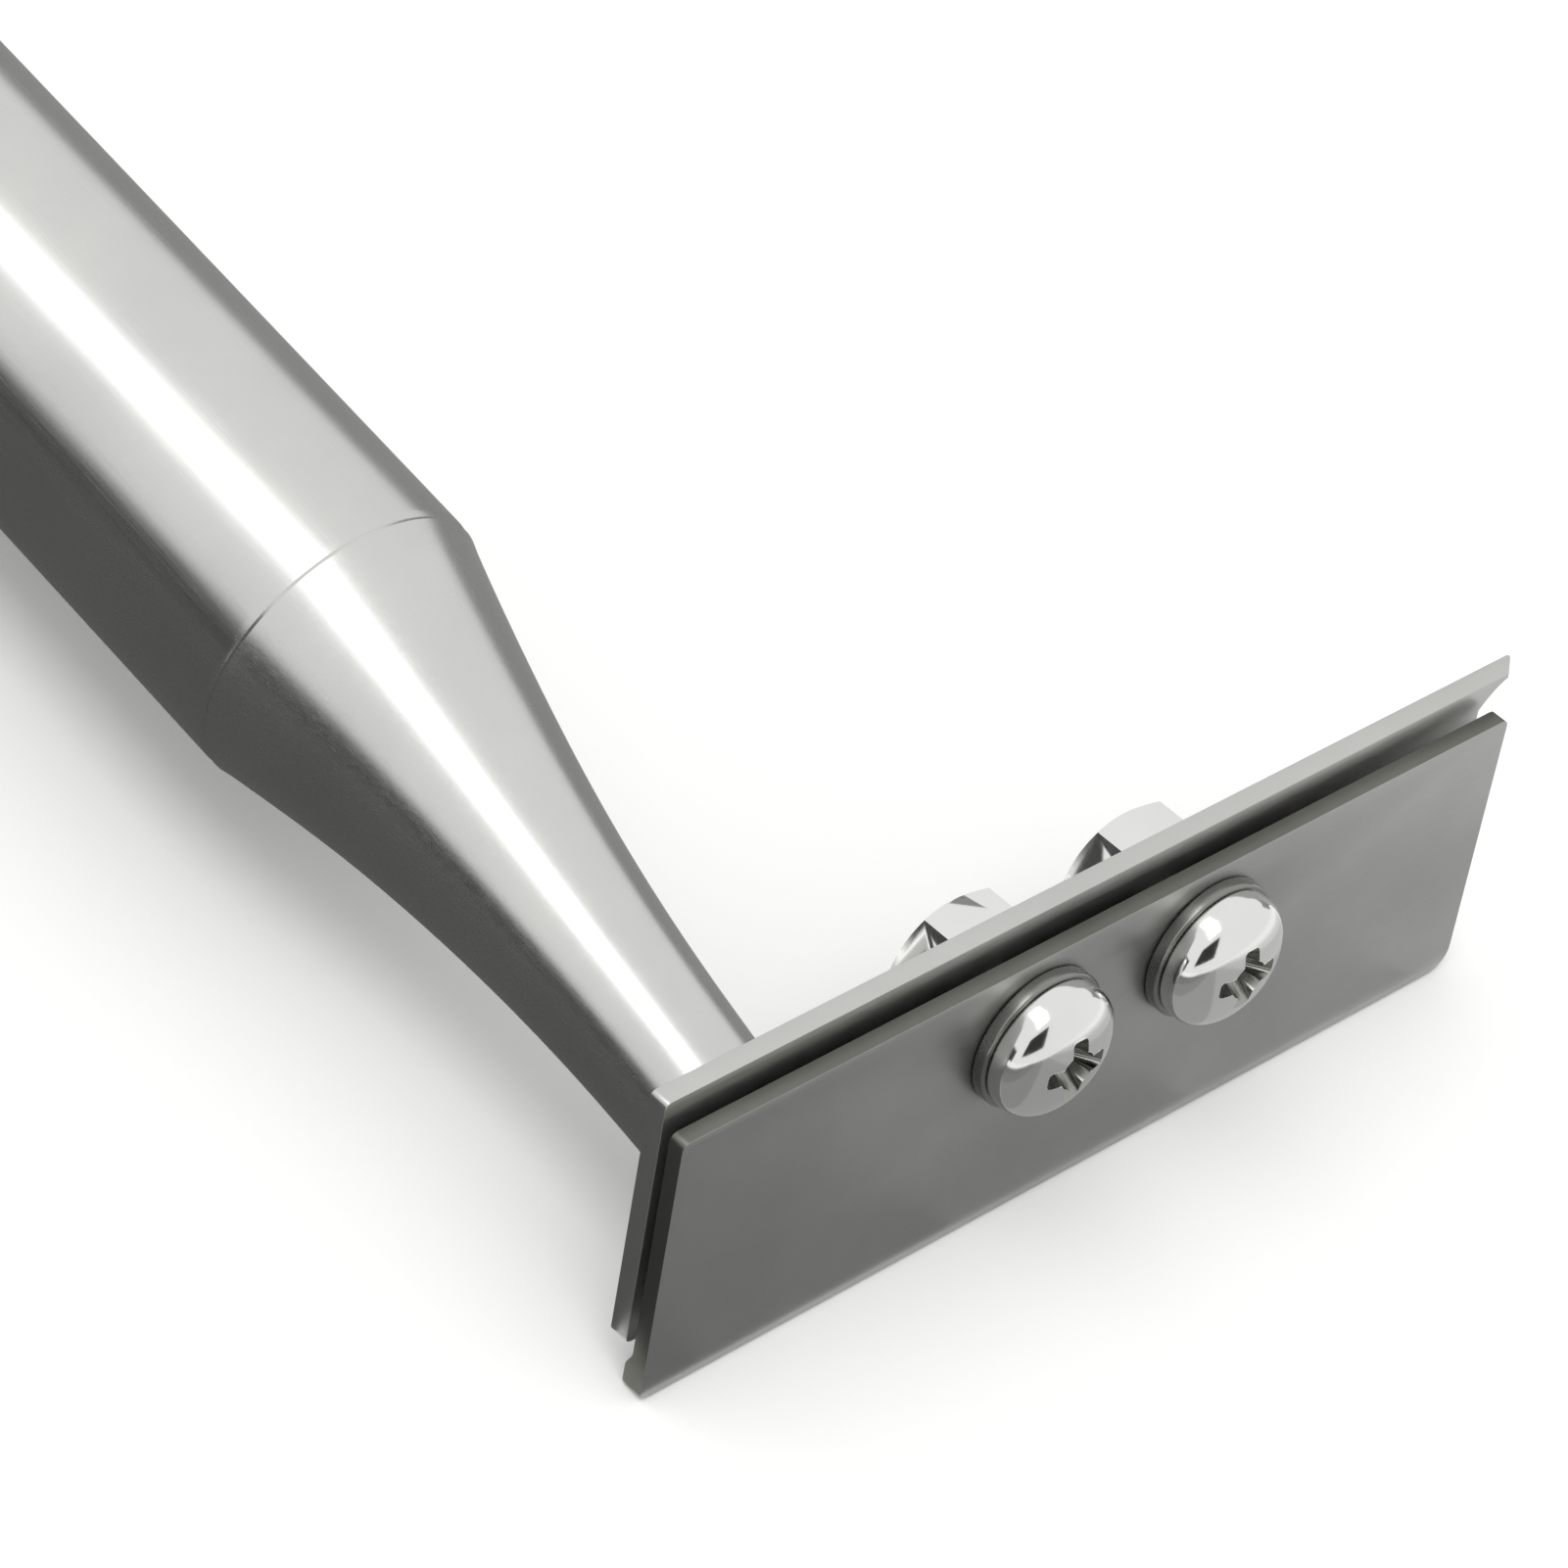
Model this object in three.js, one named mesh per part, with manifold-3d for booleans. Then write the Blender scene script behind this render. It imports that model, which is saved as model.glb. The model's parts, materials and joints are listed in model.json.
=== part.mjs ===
// Stainless steel pull scraper: a tube handle, a tapered neck and a two-plate blade clamp.
// Units are millimetres and +Z is up. The head is drawn square to its plates: X runs along
// them, Y goes back towards the handle, and the clamp plate has its front face at Y = 0 and
// its lower edge at Z = 0. The finished part is then laid on a table, on that lower edge
// and the far end of the handle, with the origin under the middle of its box.

import * as THREE from 'three';
import { ConvexGeometry } from 'three/addons/geometries/ConvexGeometry.js';
import { mergeVertices } from 'three/addons/utils/BufferGeometryUtils.js';
import Module from 'manifold-3d';

// Clamp plate, the front one
const CLAMP_LENGTH = 60;
const CLAMP_HEIGHT = 17.9;
const CLAMP_THICKNESS = 1.0;
const CLAMP_CORNER_RADIUS = 0.5;
const CLAMP_TOE_RADIUS = 1.4;
const LIP_REACH = 0.42;
const LIP_BLEND_HEIGHT = 1.2;
const LIP_EDGE_RADIUS = 0.5;
const LIP_CLEARANCE = 0.1;

// Back plate, with the slot for the blade in front of it
const BLADE_SLOT = 0.6;
const BACK_THICKNESS = 1.2;
const BACK_RISE = 1.5;
const BACK_FOOT_HEIGHT = 2.75;
const BACK_END_INSET = 0.65;
const BACK_CORNER_RADIUS = 0.4;
const EAR_DROP = 1.75;
const EAR_TIP_HEIGHT = 0.3;
const EAR_REACH_FRONT = 1.9;
const EAR_REACH_REAR = 3.3;

// Clamp screws, washers and nuts
const SCREW_INSET = 25.05;
const SCREW_SPACING = 12.6;
const SCREW_HEIGHT = 12.7;
const SCREW_DIAMETER = 5;
const SCREW_END_PROUD = 0.4;
const SCREW_END_CHAMFER = 0.5;
const HEAD_DIAMETER = 8;
const HEAD_RIM_HEIGHT = 0.5;
const HEAD_DOME_HEIGHT = 2.0;
const RECESS_SPAN = 4.4;
const RECESS_ARM = 1.1;
const RECESS_DEPTH = 1.5;
const WASHER_DIAMETER = 8.5;
const WASHER_THICKNESS = 0.6;
const NUT_FLATS = 8;
const NUT_HEIGHT = 4;
const NUT_CHAMFER_ANGLE = THREE.MathUtils.degToRad(30);
const NUT_FACE_SHARE = 0.95;

// Neck, from its foot on the back plate to the shoulder at the tube
const NECK_INSET = 8.3;
const NECK_HEIGHT = 10.3;
const NECK_RISE = THREE.MathUtils.degToRad(16);
const NECK_LENGTH = 35.6;
const NECK_FOOT_DIAMETER = 8.1;
const NECK_STRAIGHT_PULL = 13.5;
const NECK_CONE_PULL = 12;
const NECK_CONE_SLOPE = 0.275;
const NECK_WALL = 1.2;
const NECK_FOOT_TURN = 8;
const NECK_SHOULDER_TURN = 12;
const SPIGOT_LENGTH = 8;
const WELD_LEG = 1.1;

// Handle tube and its end cap
const HANDLE_RISE = THREE.MathUtils.degToRad(9.1);
const TUBE_DIAMETER = 18;
const TUBE_WALL = 1.0;
const TUBE_LENGTH = 190;
const CAP_FLANGE = 2.4;
const CAP_EDGE_RADIUS = 1.2;
const CAP_WALL = 1.0;
const CAP_SKIRT = 9;

// Clearances between pieces, and how finely curves are divided
const SEAT_GAP = 0.25;
const BORE_CLEARANCE = 0.25;
const OVERCUT = 1;
const TUBE_SIDES = 48;
const SCREW_SIDES = 32;
const QUARTER_STEPS = 8;
const CURVE_STEPS = QUARTER_STEPS / 2;
const NECK_STEPS = 16;

// Places that follow from the driving dimensions
const LEFT_END = -CLAMP_LENGTH / 2;
const RIGHT_END = CLAMP_LENGTH / 2;
const BACK_FRONT = CLAMP_THICKNESS + BLADE_SLOT;
const BACK_REAR = BACK_FRONT + BACK_THICKNESS;
const BACK_TOP = CLAMP_HEIGHT + BACK_RISE;
const SCREW_PLACES = { left: LEFT_END + SCREW_INSET, right: LEFT_END + SCREW_INSET + SCREW_SPACING };
const HOLE_RADIUS = SCREW_DIAMETER / 2 + BORE_CLEARANCE;
const WASHER_SEAT = -SEAT_GAP;
const HEAD_SEAT = WASHER_SEAT - WASHER_THICKNESS - SEAT_GAP;
const NUT_SEAT = BACK_REAR + SEAT_GAP;
const TUBE_RADIUS = TUBE_DIAMETER / 2;
const TUBE_BORE = TUBE_RADIUS - TUBE_WALL;
const SPIGOT_RADIUS = TUBE_BORE - BORE_CLEARANCE;
const SPIGOT_BORE = SPIGOT_RADIUS - NECK_WALL;
const CAP_RADIUS = TUBE_BORE - BORE_CLEARANCE;

const wasm = await Module();
wasm.setup();

function signedVolume(positions, triangles) {
  const corners = [new THREE.Vector3(), new THREE.Vector3(), new THREE.Vector3()];
  let volume = 0;
  for (const triangle of triangles) {
    triangle.forEach((vertex, corner) => corners[corner].fromBufferAttribute(positions, vertex));
    volume += corners[0].dot(corners[1].cross(corners[2])) / 6;
  }
  return volume;
}

// Positions and triangles only, with shared vertices merged, no sliver on an axis, faces outward
function closed(geometry) {
  const bare = geometry.clone();
  bare.deleteAttribute('normal');
  bare.deleteAttribute('uv');
  const merged = mergeVertices(bare);
  const triangles = [];
  for (let i = 0; i < merged.index.count; i += 3) {
    const triangle = [0, 1, 2].map((corner) => merged.index.getX(i + corner));
    if (new Set(triangle).size === 3) {
      triangles.push(triangle);
    }
  }
  if (signedVolume(merged.attributes.position, triangles) < 0) {
    triangles.forEach((triangle) => triangle.reverse());
  }
  merged.setIndex(triangles.flat());
  return merged;
}

function solid(geometry) {
  const body = closed(geometry);
  const mesh = new wasm.Mesh({
    numProp: 3,
    vertProperties: Float32Array.from(body.attributes.position.array),
    triVerts: Uint32Array.from(body.index.array),
  });
  return new wasm.Manifold(mesh);
}

function geometryOf(manifold) {
  const mesh = manifold.getMesh();
  const geometry = new THREE.BufferGeometry();
  geometry.setAttribute('position', new THREE.BufferAttribute(mesh.vertProperties, 3));
  geometry.setIndex(new THREE.BufferAttribute(mesh.triVerts, 1));
  return geometry;
}

// A shape drawn in X and Z, as seen from the front, given its thickness from Y = front backwards
function frontPlate(shape, front, thickness) {
  const geometry = new THREE.ExtrudeGeometry(shape, {
    depth: thickness,
    bevelEnabled: false,
    curveSegments: CURVE_STEPS,
  });
  geometry.rotateX(Math.PI / 2);
  geometry.translate(0, front + thickness, 0);
  return geometry;
}

// A section drawn in Y and Z, run along X between two ends
function alongX(shape, start, end) {
  const geometry = new THREE.ExtrudeGeometry(shape, {
    depth: end - start,
    bevelEnabled: false,
    curveSegments: CURVE_STEPS,
  });
  const toX = new THREE.Matrix4().makeBasis(
    new THREE.Vector3(0, 1, 0),
    new THREE.Vector3(0, 0, 1),
    new THREE.Vector3(1, 0, 0),
  );
  geometry.applyMatrix4(toX);
  geometry.translate(start, 0, 0);
  return geometry;
}

// Corner radii go anticlockwise from the lower left
function roundedRectangle(left, bottom, right, top, radii) {
  const [lowerLeft, lowerRight, upperRight, upperLeft] = radii;
  const shape = new THREE.Shape();
  shape.absarc(left + lowerLeft, bottom + lowerLeft, lowerLeft, Math.PI, 1.5 * Math.PI);
  shape.absarc(right - lowerRight, bottom + lowerRight, lowerRight, 1.5 * Math.PI, 2 * Math.PI);
  shape.absarc(right - upperRight, top - upperRight, upperRight, 0, 0.5 * Math.PI);
  shape.absarc(left + upperLeft, top - upperLeft, upperLeft, 0.5 * Math.PI, Math.PI);
  shape.closePath();
  return shape;
}

// Four quarter arcs, so that a hole is divided as finely as a rounded corner
function screwHole(x, z) {
  const hole = new THREE.Path();
  for (let quarter = 0; quarter < 4; quarter += 1) {
    hole.absarc(x, z, HOLE_RADIUS, (quarter * Math.PI) / 2, ((quarter + 1) * Math.PI) / 2);
  }
  return hole;
}

function addScrewHoles(shape) {
  for (const place of Object.values(SCREW_PLACES)) {
    shape.holes.push(screwHole(place, SCREW_HEIGHT));
  }
}

// A point of a turned profile
function point(radius, along) {
  return new THREE.Vector2(radius, along);
}

// A quarter turn about a centre, without its first point
function quarterArc(centre, radius, startAngle, endAngle) {
  const clockwise = endAngle < startAngle;
  const arc = new THREE.EllipseCurve(centre.x, centre.y, radius, radius, startAngle, endAngle, clockwise);
  return arc.getPoints(QUARTER_STEPS).slice(1);
}

// The section thickens to a pressing lip along its lower edge, and the outline has one round toe
function clampPlate() {
  const lipRear = CLAMP_THICKNESS + LIP_REACH;
  const lipTop = BACK_FOOT_HEIGHT - LIP_CLEARANCE;
  const lipShoulder = lipTop - LIP_BLEND_HEIGHT;
  const lipBend = (lipTop + lipShoulder) / 2;
  const section = new THREE.Shape();
  section.moveTo(0, 0);
  section.lineTo(lipRear - LIP_EDGE_RADIUS, 0);
  section.absarc(lipRear - LIP_EDGE_RADIUS, LIP_EDGE_RADIUS, LIP_EDGE_RADIUS, -Math.PI / 2, 0);
  section.lineTo(lipRear, lipShoulder);
  section.bezierCurveTo(lipRear, lipBend, CLAMP_THICKNESS, lipBend, CLAMP_THICKNESS, lipTop);
  section.lineTo(CLAMP_THICKNESS, CLAMP_HEIGHT);
  section.lineTo(0, CLAMP_HEIGHT);
  section.closePath();
  const corners = [CLAMP_CORNER_RADIUS, CLAMP_TOE_RADIUS, CLAMP_CORNER_RADIUS, CLAMP_CORNER_RADIUS];
  const outline = roundedRectangle(LEFT_END, 0, RIGHT_END, CLAMP_HEIGHT, corners);
  addScrewHoles(outline);
  const bar = solid(alongX(section, LEFT_END - OVERCUT, RIGHT_END + OVERCUT));
  const blank = solid(frontPlate(outline, -OVERCUT, lipRear + 2 * OVERCUT));
  return geometryOf(bar.intersect(blank));
}

// The upper right corner is drawn out into an ear, longer on the rear face than on the front
function backPlate() {
  const right = RIGHT_END - BACK_END_INSET;
  const corners = [BACK_CORNER_RADIUS, BACK_CORNER_RADIUS, BACK_CORNER_RADIUS, BACK_CORNER_RADIUS];
  const outline = roundedRectangle(LEFT_END, BACK_FOOT_HEIGHT, right, BACK_TOP, corners);
  addScrewHoles(outline);
  const root = right - 2 * BACK_CORNER_RADIUS;
  const earPoints = [];
  for (const [y, reach] of [[BACK_FRONT, EAR_REACH_FRONT], [BACK_REAR, EAR_REACH_REAR]]) {
    earPoints.push(new THREE.Vector3(root, y, BACK_TOP));
    earPoints.push(new THREE.Vector3(right + reach, y, BACK_TOP));
    earPoints.push(new THREE.Vector3(right + reach, y, BACK_TOP - EAR_TIP_HEIGHT));
    earPoints.push(new THREE.Vector3(right, y, BACK_TOP - EAR_DROP));
    earPoints.push(new THREE.Vector3(root, y, BACK_TOP - EAR_DROP));
  }
  const plate = solid(frontPlate(outline, BACK_FRONT, BACK_THICKNESS));
  return geometryOf(plate.add(solid(new ConvexGeometry(earPoints))));
}

// Pan head with a cross recess, turned about Y with its head to the front
function clampScrew() {
  const shank = SCREW_DIAMETER / 2;
  const tip = NUT_SEAT + NUT_HEIGHT + SCREW_END_PROUD;
  const rim = HEAD_SEAT - HEAD_RIM_HEIGHT;
  const crown = rim - HEAD_DOME_HEIGHT;
  const dome = new THREE.EllipseCurve(0, rim, HEAD_DIAMETER / 2, HEAD_DOME_HEIGHT, -Math.PI / 2, 0);
  const profile = dome.getPoints(QUARTER_STEPS);
  profile[0].set(0, crown);
  profile.push(point(HEAD_DIAMETER / 2, HEAD_SEAT));
  profile.push(point(shank, HEAD_SEAT));
  profile.push(point(shank, tip - SCREW_END_CHAMFER));
  profile.push(point(shank - SCREW_END_CHAMFER, tip));
  profile.push(point(0, tip));
  const arm = RECESS_ARM / 2;
  const reach = RECESS_SPAN / 2;
  const centre = new THREE.Vector2();
  const cross = [];
  for (let quarter = 0; quarter < 4; quarter += 1) {
    for (const [x, z] of [[reach, -arm], [reach, arm], [arm, arm]]) {
      cross.push(new THREE.Vector2(x, z).rotateAround(centre, (quarter * Math.PI) / 2));
    }
  }
  const recess = solid(frontPlate(new THREE.Shape(cross), crown - OVERCUT, RECESS_DEPTH + OVERCUT));
  return geometryOf(solid(new THREE.LatheGeometry(profile, SCREW_SIDES)).subtract(recess));
}

function washer() {
  const outer = WASHER_DIAMETER / 2;
  const front = WASHER_SEAT - WASHER_THICKNESS;
  const profile = [
    point(HOLE_RADIUS, front),
    point(outer, front),
    point(outer, WASHER_SEAT),
    point(HOLE_RADIUS, WASHER_SEAT),
    point(HOLE_RADIUS, front),
  ];
  return new THREE.LatheGeometry(profile, SCREW_SIDES);
}

// A hexagon with one flat upwards, its corners cut back by a cone on both faces
function nut() {
  const corner = NUT_FLATS / Math.sqrt(3);
  const rear = NUT_SEAT + NUT_HEIGHT;
  const face = (NUT_FLATS / 2) * NUT_FACE_SHARE;
  const outside = corner + OVERCUT;
  const slope = (outside - face) * Math.tan(NUT_CHAMFER_ANGLE);
  const corners = [];
  for (let side = 0; side < 6; side += 1) {
    const angle = (side * Math.PI) / 3;
    corners.push(new THREE.Vector2(corner * Math.cos(angle), corner * Math.sin(angle)));
  }
  const hexagon = new THREE.Shape(corners);
  hexagon.holes.push(screwHole(0, 0));
  const cones = [
    point(0, NUT_SEAT),
    point(face, NUT_SEAT),
    point(outside, NUT_SEAT + slope),
    point(outside, rear - slope),
    point(face, rear),
    point(0, rear),
  ];
  const blank = solid(frontPlate(hexagon, NUT_SEAT, NUT_HEIGHT));
  return geometryOf(blank.intersect(solid(new THREE.LatheGeometry(cones, TUBE_SIDES))));
}

// Outer radius of the neck at a distance from its foot: a straight stem that opens into a cone
const neckCurve = new THREE.CubicBezierCurve(
  point(NECK_FOOT_DIAMETER / 2, 0),
  point(NECK_FOOT_DIAMETER / 2, NECK_STRAIGHT_PULL),
  point(TUBE_RADIUS - NECK_CONE_SLOPE * NECK_CONE_PULL, NECK_LENGTH - NECK_CONE_PULL),
  point(TUBE_RADIUS, NECK_LENGTH),
);

// How steeply the neck's rings stand at a distance from the foot: flat on the plate,
// square to the neck along its stem, and square to the handle from the shoulder on
function ringRise(along) {
  const leaving = THREE.MathUtils.smoothstep(along, 0, NECK_FOOT_TURN);
  const arriving = THREE.MathUtils.smoothstep(along, NECK_LENGTH - NECK_SHOULDER_TURN, NECK_LENGTH);
  return NECK_RISE * leaving + (HANDLE_RISE - NECK_RISE) * arriving;
}

// A point of the axis: along the neck as far as the shoulder, then along the handle
function axisPoint(along) {
  const onNeck = Math.min(along, NECK_LENGTH);
  const onHandle = along - onNeck;
  return new THREE.Vector3(
    0,
    onNeck * Math.cos(NECK_RISE) + onHandle * Math.cos(HANDLE_RISE),
    onNeck * Math.sin(NECK_RISE) + onHandle * Math.sin(HANDLE_RISE),
  );
}

// A closed profile of radius and distance along the axis, turned about the bent axis ring by ring
function bentLathe(profile, sides) {
  const positions = [];
  const triangles = [];
  for (const { x: radius, y: along } of profile) {
    const centre = axisPoint(along);
    const rise = ringRise(along);
    for (let side = 0; side < sides; side += 1) {
      const angle = (2 * Math.PI * side) / sides;
      const across = radius * Math.cos(angle);
      const up = radius * Math.sin(angle);
      positions.push(across, centre.y - up * Math.sin(rise), centre.z + up * Math.cos(rise));
    }
  }
  const rings = profile.length;
  for (let ring = 0; ring < rings; ring += 1) {
    const next = (ring + 1) % rings;
    for (let side = 0; side < sides; side += 1) {
      const beside = (side + 1) % sides;
      const here = ring * sides;
      const there = next * sides;
      triangles.push(here + side, here + beside, there + side);
      triangles.push(here + beside, there + beside, there + side);
    }
  }
  const geometry = new THREE.BufferGeometry();
  geometry.setAttribute('position', new THREE.Float32BufferAttribute(positions, 3));
  geometry.setIndex(triangles);
  return geometry;
}

// The swaged neck: outer skin up to the shoulder, a spigot for the tube, and the bore back down
function neck() {
  const skin = neckCurve.getPoints(NECK_STEPS);
  const spigotEnd = NECK_LENGTH + SPIGOT_LENGTH;
  const spigot = [
    point(SPIGOT_RADIUS, NECK_LENGTH),
    point(SPIGOT_RADIUS, spigotEnd),
    point(SPIGOT_BORE, spigotEnd),
    point(SPIGOT_BORE, NECK_LENGTH),
  ];
  const bore = skin.slice(0, -1).map(({ x, y }) => point(Math.min(x - NECK_WALL, SPIGOT_BORE), y));
  return bentLathe([...skin, ...spigot, ...bore.reverse()], TUBE_SIDES);
}

// A hollow fillet bead round the foot of the neck
function neckWeld() {
  const inner = NECK_FOOT_DIAMETER / 2 + BORE_CLEARANCE;
  const outer = inner + WELD_LEG;
  const hollow = quarterArc(point(outer, WELD_LEG), WELD_LEG, -Math.PI / 2, -Math.PI);
  return bentLathe([point(inner, 0), point(outer, 0), ...hollow], TUBE_SIDES);
}

// From here on, lengths run along the handle from its shoulder
function handleTube() {
  const profile = [
    point(TUBE_BORE, SEAT_GAP),
    point(TUBE_RADIUS, SEAT_GAP),
    point(TUBE_RADIUS, TUBE_LENGTH),
    point(TUBE_BORE, TUBE_LENGTH),
    point(TUBE_BORE, SEAT_GAP),
  ];
  return new THREE.LatheGeometry(profile, TUBE_SIDES);
}

// A pressed cup: a flat face with a rounded edge, and a skirt that plugs the tube
function endCap() {
  const seat = TUBE_LENGTH + SEAT_GAP;
  const end = seat + CAP_FLANGE;
  const skirt = seat - CAP_SKIRT;
  const edgeCentre = point(TUBE_RADIUS - CAP_EDGE_RADIUS, end - CAP_EDGE_RADIUS);
  const profile = [
    point(0, end - CAP_WALL),
    point(CAP_RADIUS - CAP_WALL, end - CAP_WALL),
    point(CAP_RADIUS - CAP_WALL, skirt),
    point(CAP_RADIUS, skirt),
    point(CAP_RADIUS, seat),
    point(TUBE_RADIUS, seat),
    point(TUBE_RADIUS, end - CAP_EDGE_RADIUS),
    ...quarterArc(edgeCentre, CAP_EDGE_RADIUS, 0, Math.PI / 2),
    point(0, end),
  ];
  return new THREE.LatheGeometry(profile, TUBE_SIDES);
}

function piece(name, geometry, finish) {
  const material = new THREE.MeshStandardMaterial({ metalness: 1, flatShading: true, ...finish });
  const mesh = new THREE.Mesh(closed(geometry), material);
  mesh.name = name;
  return mesh;
}

const SATIN_SHEET = { color: 0x8a8a88, roughness: 0.42 };
const POLISHED_TUBE = { color: 0xc9c9c6, roughness: 0.25 };
const BRIGHT_PLATED = { color: 0xd8d8d6, roughness: 0.12 };
const WELD_METAL = { color: 0xa9a8a4, roughness: 0.5 };

const head = new THREE.Group();
head.add(piece('clamp_plate', clampPlate(), SATIN_SHEET));
head.add(piece('back_plate', backPlate(), SATIN_SHEET));
for (const [side, place] of Object.entries(SCREW_PLACES)) {
  const stack = new THREE.Group();
  stack.position.set(place, 0, SCREW_HEIGHT);
  stack.add(piece(`screw_${side}`, clampScrew(), BRIGHT_PLATED));
  stack.add(piece(`washer_${side}`, washer(), BRIGHT_PLATED));
  stack.add(piece(`nut_${side}`, nut(), BRIGHT_PLATED));
  head.add(stack);
}

const handle = new THREE.Group();
handle.position.set(LEFT_END + NECK_INSET, BACK_REAR + SEAT_GAP, NECK_HEIGHT);
handle.add(piece('neck', neck(), POLISHED_TUBE));
handle.add(piece('neck_weld', neckWeld(), WELD_METAL));
const grip = new THREE.Group();
grip.position.copy(axisPoint(NECK_LENGTH));
grip.rotation.x = HANDLE_RISE;
grip.add(piece('handle_tube', handleTube(), POLISHED_TUBE));
grip.add(piece('handle_end_cap', endCap(), POLISHED_TUBE));
handle.add(grip);
head.add(handle);

function worldPoints(object) {
  const points = [];
  object.updateWorldMatrix(true, true);
  object.traverse((mesh) => {
    const positions = mesh.geometry?.attributes.position;
    for (let i = 0; i < (positions?.count ?? 0); i += 1) {
      points.push(mesh.localToWorld(new THREE.Vector3().fromBufferAttribute(positions, i)));
    }
  });
  return points;
}

// The table line under the part runs from the clamp plate's lip to the handle's far end:
// the steepest line that no point of the plate or the grip lies under
function tableSlope() {
  const plate = worldPoints(head.getObjectByName('clamp_plate'));
  const far = worldPoints(grip);
  let slope = 0;
  let before;
  do {
    before = slope;
    const height = ({ y, z }) => z * Math.cos(before) - y * Math.sin(before);
    const contact = plate.reduce((low, other) => (height(other) < height(low) ? other : low));
    slope = Math.min(...far.map(({ y, z }) => Math.atan2(z - contact.z, y - contact.y)));
  } while (slope !== before);
  return slope;
}

head.rotation.x = -tableSlope();
const scraper = new THREE.Group();
scraper.name = 'scraper';
scraper.add(head);
scraper.updateMatrixWorld(true);
const box = new THREE.Box3().setFromObject(scraper, true);
const middle = box.getCenter(new THREE.Vector3());
head.position.sub(new THREE.Vector3(middle.x, middle.y, box.min.z));
scraper.updateMatrixWorld(true);

export default scraper;
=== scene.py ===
import json
import math

import bmesh
import bpy
from mathutils import Matrix, Vector


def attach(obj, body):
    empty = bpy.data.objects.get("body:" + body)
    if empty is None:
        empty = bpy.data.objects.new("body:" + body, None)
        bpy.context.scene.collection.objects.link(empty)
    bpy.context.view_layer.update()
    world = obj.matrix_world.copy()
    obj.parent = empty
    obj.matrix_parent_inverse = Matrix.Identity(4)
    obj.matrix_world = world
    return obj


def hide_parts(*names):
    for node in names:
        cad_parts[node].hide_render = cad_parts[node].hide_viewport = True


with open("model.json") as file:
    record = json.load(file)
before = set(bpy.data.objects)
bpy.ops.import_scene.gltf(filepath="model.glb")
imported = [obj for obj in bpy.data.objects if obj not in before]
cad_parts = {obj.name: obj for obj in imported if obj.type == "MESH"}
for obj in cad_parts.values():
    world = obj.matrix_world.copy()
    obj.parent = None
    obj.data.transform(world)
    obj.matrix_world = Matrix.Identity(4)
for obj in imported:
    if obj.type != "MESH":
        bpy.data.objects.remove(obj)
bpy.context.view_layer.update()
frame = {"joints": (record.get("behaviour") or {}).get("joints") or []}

# Lengths are in millimetres and the world is in metres
MM = 0.001
TINY = 0.01
MERGE_DISTANCE = 0.001

# Clamp plate
CLAMP_LENGTH = 60
CLAMP_HEIGHT = 17.9
CLAMP_THICKNESS = 1.0
CLAMP_CORNER_RADIUS = 0.5
CLAMP_TOE_RADIUS = 1.4
CLAMP_TOE_STEPS = 10
LIP_REACH = 0.42
LIP_TOP = 2.65
LIP_SHOULDER = 1.45
LIP_STEPS = 8
LIP_EDGE_RADIUS = 0.5
LIP_EDGE_STEPS = 6

# Back plate with its ear
BACK_FRONT = 1.6
BACK_REAR = 2.8
BACK_TOP = 19.4
BACK_FOOT = 2.75
BACK_LEFT = -30
BACK_RIGHT = 29.35
BACK_CORNER_RADIUS = 0.4
EAR_DROP = 1.75
EAR_TIP_HEIGHT = 0.3
EAR_REACH_FRONT = 1.9
EAR_REACH_REAR = 3.3
EAR_HOLLOW = 0.18
EAR_STEPS = 6
EAR_TIP_ROUND = 0.45
EAR_TIP_STEPS = 6

# Corners, edges and screw holes of both plates
PLATE_CORNER_STEPS = 5
SHEET_EDGE_ROUND = 0.08
SHEET_EDGE_ANGLE = 50
HOLE_RADIUS = 2.7
DRILL_REACH = 20

# Screws
SCREW_PLACES = {"left": -4.95, "right": 7.65}
SCREW_HEIGHT = 12.7
SCREW_RADIUS = 2.5
SCREW_TIP = 7.45
SCREW_EDGE_ROUND = 0.14
SCREW_EDGE_ANGLE = 28
TIP_CHAMFER = 0.5
TIP_BLANK_RADIUS = 4
TIP_BLANK_START = -3
THREAD_PITCH = 0.8
THREAD_DEPTH = 0.45
THREAD_FLAT = 0.1
THREAD_EMBED = 0.1
THREAD_CLEARANCE = 0.02
THREAD_STEPS = 48
HEAD_RADIUS = 4.0
HEAD_CROWN = -3.6
HEAD_RIM = -1.6
HEAD_EDGE_ROUND = 0.175
DOME_STEPS = 28

# Cross recess in the screw's head
RECESS_SPAN = 4.4
RECESS_ARM = 1.1
RECESS_DEPTH = 1.7
RECESS_FLOOR_SPAN_SHARE = 0.35
RECESS_FLOOR_ARM_SHARE = 0.75
RECESS_CORNER_ROUND = 0.22
RECESS_CORNER_ANGLE = 30
RECESS_MOUTH_RADIUS = 1.495
RECESS_FLOOR_RADIUS = 0.69
RECESS_POINT = 0.3
RECESS_OVERCUT = 1
RECESS_STEPS = 32
RECESS_SKIN = 0.06

# Washers and nuts
WASHER_RADIUS = 4.25
WASHER_BORE_RADIUS = 2.65
WASHER_THICKNESS = 0.85
WASHER_ROUND = 0.18
NUT_SIDES = 6
NUT_FLATS = 8
NUT_TOP = 7.05
NUT_CHAMFER_ANGLE = math.radians(30)
NUT_FACE_SHARE = 0.95
NUT_TURN = math.radians(30)
NUT_COUNTERSINK = 0.35
NUT_OVERCUT = 1
NUT_EDGE_ROUND = 0.1
NUT_EDGE_ANGLE = 22

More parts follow.
